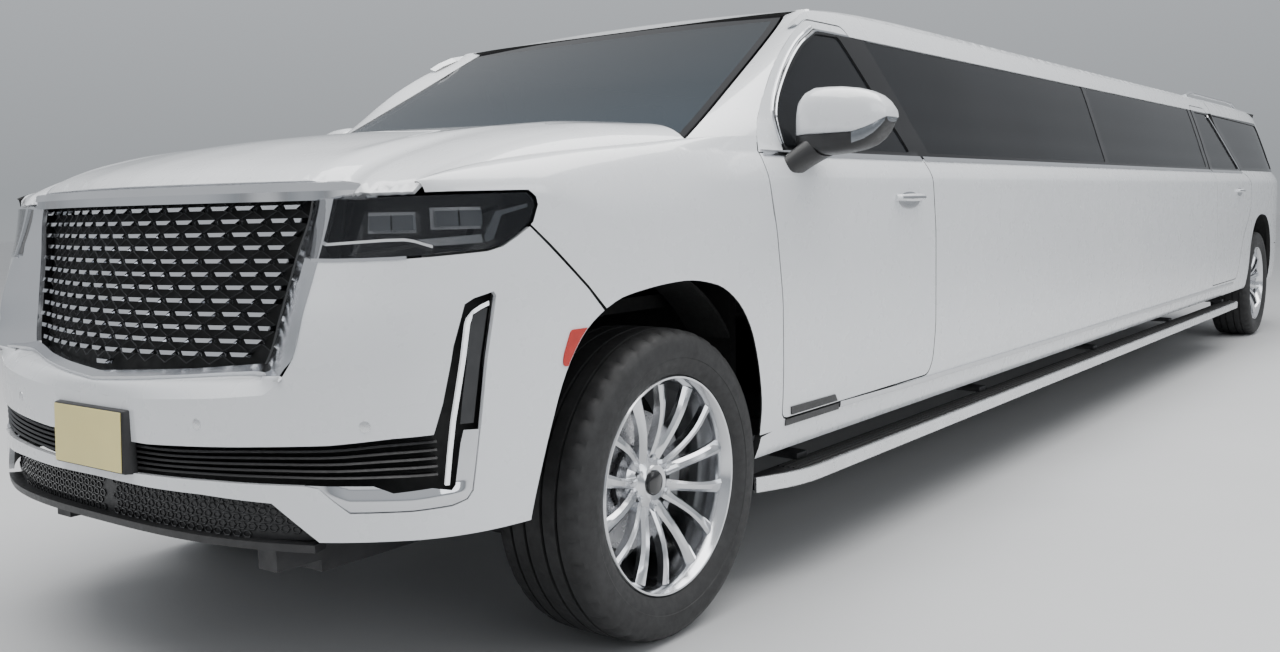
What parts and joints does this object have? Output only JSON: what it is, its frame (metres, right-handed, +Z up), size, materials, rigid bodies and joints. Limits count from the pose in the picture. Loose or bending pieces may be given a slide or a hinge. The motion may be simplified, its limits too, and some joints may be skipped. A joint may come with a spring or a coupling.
{
  "type": "stretch limousine",
  "caption": "Stretched luxury sport-utility limousine with hinged doors, hood and liftgate, steered front wheels and rolling wheels.",
  "frame": {"origin": "on the ground under the centre of the vehicle's bounding box", "axes": "+X forward, +Y to the vehicle's left side, +Z up"},
  "size_m": [10.462, 2.54, 1.948],
  "materials": {
    "body_white": "gloss white paint",
    "chassis_black": "satin black chassis coating",
    "cast_alloy": "as-cast alloy",
    "exhaust_steel": "dull steel tube",
    "black_plastic": "black moulded plastic",
    "interior_black": "soft grained trim",
    "interior_leather": "black grained leather",
    "screen_glass": "clear laminated glass",
    "privacy_glass": "dark privacy glass",
    "lamp_glass": "smoked lamp lens",
    "lamp_red": "red lamp lens",
    "step_black": "black ribbed step with a silver edge",
    "liner_black": "black moulded liner",
    "knuckle_metal": "cast knuckle",
    "wheel_silver": "machined and polished alloy",
    "tyre_rubber": "black tyre rubber"
  },
  "bodies": {
    "root": {"frame_rails": "chassis_black", "floor_pan": "chassis_black", "engine_block": "cast_alloy", "front_suspension": "chassis_black", "rear_axle": "chassis_black", "fuel_tank": "black_plastic", "exhaust": "exhaust_steel", "front_fenders": "body_white", "stretch_sides": "body_white", "quarter_panels": "body_white", "roof_panel": "body_white", "cowl": "black_plastic", "dashboard": "interior_black", "steering_wheel": "interior_leather", "seats": "interior_leather", "windshield": "screen_glass", "side_windows": "privacy_glass", "grille": "black_plastic", "front_bumper": "body_white", "front_lamps": "lamp_glass", "rear_bumper": "body_white", "tail_lamps": "lamp_red", "running_boards": "step_black", "wheel_liners": "liner_black"},
    "hood": {"hood": "body_white"},
    "liftgate": {"liftgate": "body_white", "liftgate_glass": "privacy_glass"},
    "front_door_left": {"front_door_left": "body_white", "front_glass_left": "privacy_glass"},
    "front_door_right": {"front_door_right": "body_white", "front_glass_right": "privacy_glass"},
    "rear_door_left": {"rear_door_left": "body_white", "rear_glass_left": "privacy_glass"},
    "rear_door_right": {"rear_door_right": "body_white", "rear_glass_right": "privacy_glass"},
    "knuckle_left": {"knuckle_left": "knuckle_metal"},
    "knuckle_right": {"knuckle_right": "knuckle_metal"},
    "front_wheel_left": {"front_rim_left": "wheel_silver", "front_tyre_left": "tyre_rubber"},
    "front_wheel_right": {"front_rim_right": "wheel_silver", "front_tyre_right": "tyre_rubber"},
    "rear_wheel_left": {"rear_rim_left": "wheel_silver", "rear_tyre_left": "tyre_rubber"},
    "rear_wheel_right": {"rear_rim_right": "wheel_silver", "rear_tyre_right": "tyre_rubber"}
  },
  "joints": [
    {"name": "hood_hinge", "type": "hinge", "parent": "root", "child": "hood", "pos_m": [4.051, 0, 1.368], "axis": [0, -1, 0], "range_deg": [0, 50]},
    {"name": "liftgate_hinge", "type": "hinge", "parent": "root", "child": "liftgate", "pos_m": [-4.811, 0, 1.832], "axis": [0, 1, 0], "range_deg": [0, 80]},
    {"name": "front_left_door_hinge", "type": "hinge", "parent": "root", "child": "front_door_left", "pos_m": [3.635, 1.003, 0.9], "axis": [0, 0, -1], "range_deg": [0, 66]},
    {"name": "front_right_door_hinge", "type": "hinge", "parent": "root", "child": "front_door_right", "pos_m": [3.635, -1.003, 0.9], "axis": [0, 0, 1], "range_deg": [0, 66]},
    {"name": "rear_left_door_hinge", "type": "hinge", "parent": "root", "child": "rear_door_left", "pos_m": [-2.315, 1.003, 0.9], "axis": [0, 0, -1], "range_deg": [0, 68]},
    {"name": "rear_right_door_hinge", "type": "hinge", "parent": "root", "child": "rear_door_right", "pos_m": [-2.315, -1.003, 0.9], "axis": [0, 0, 1], "range_deg": [0, 68]},
    {"name": "steer_left", "type": "hinge", "parent": "root", "child": "knuckle_left", "pos_m": [4.201, 0.84, 0.417], "axis": [0, 0, 1], "range_deg": [-33, 33]},
    {"name": "steer_right", "type": "hinge", "parent": "root", "child": "knuckle_right", "pos_m": [4.201, -0.84, 0.417], "axis": [0, 0, 1], "range_deg": [-33, 33]},
    {"name": "front_left_wheel_spin", "type": "hinge", "parent": "knuckle_left", "child": "front_wheel_left", "pos_m": [4.201, 0.869, 0.417], "axis": [0, 1, 0], "continuous": true},
    {"name": "front_right_wheel_spin", "type": "hinge", "parent": "knuckle_right", "child": "front_wheel_right", "pos_m": [4.201, -0.869, 0.417], "axis": [0, 1, 0], "continuous": true},
    {"name": "rear_left_wheel_spin", "type": "hinge", "parent": "root", "child": "rear_wheel_left", "pos_m": [-3.95, 0.869, 0.417], "axis": [0, 1, 0], "continuous": true},
    {"name": "rear_right_wheel_spin", "type": "hinge", "parent": "root", "child": "rear_wheel_right", "pos_m": [-3.95, -0.869, 0.417], "axis": [0, 1, 0], "continuous": true}
  ],
  "couplings": [
    {"joint": "steer_right", "follows": "steer_left", "ratio": 1}
  ]
}
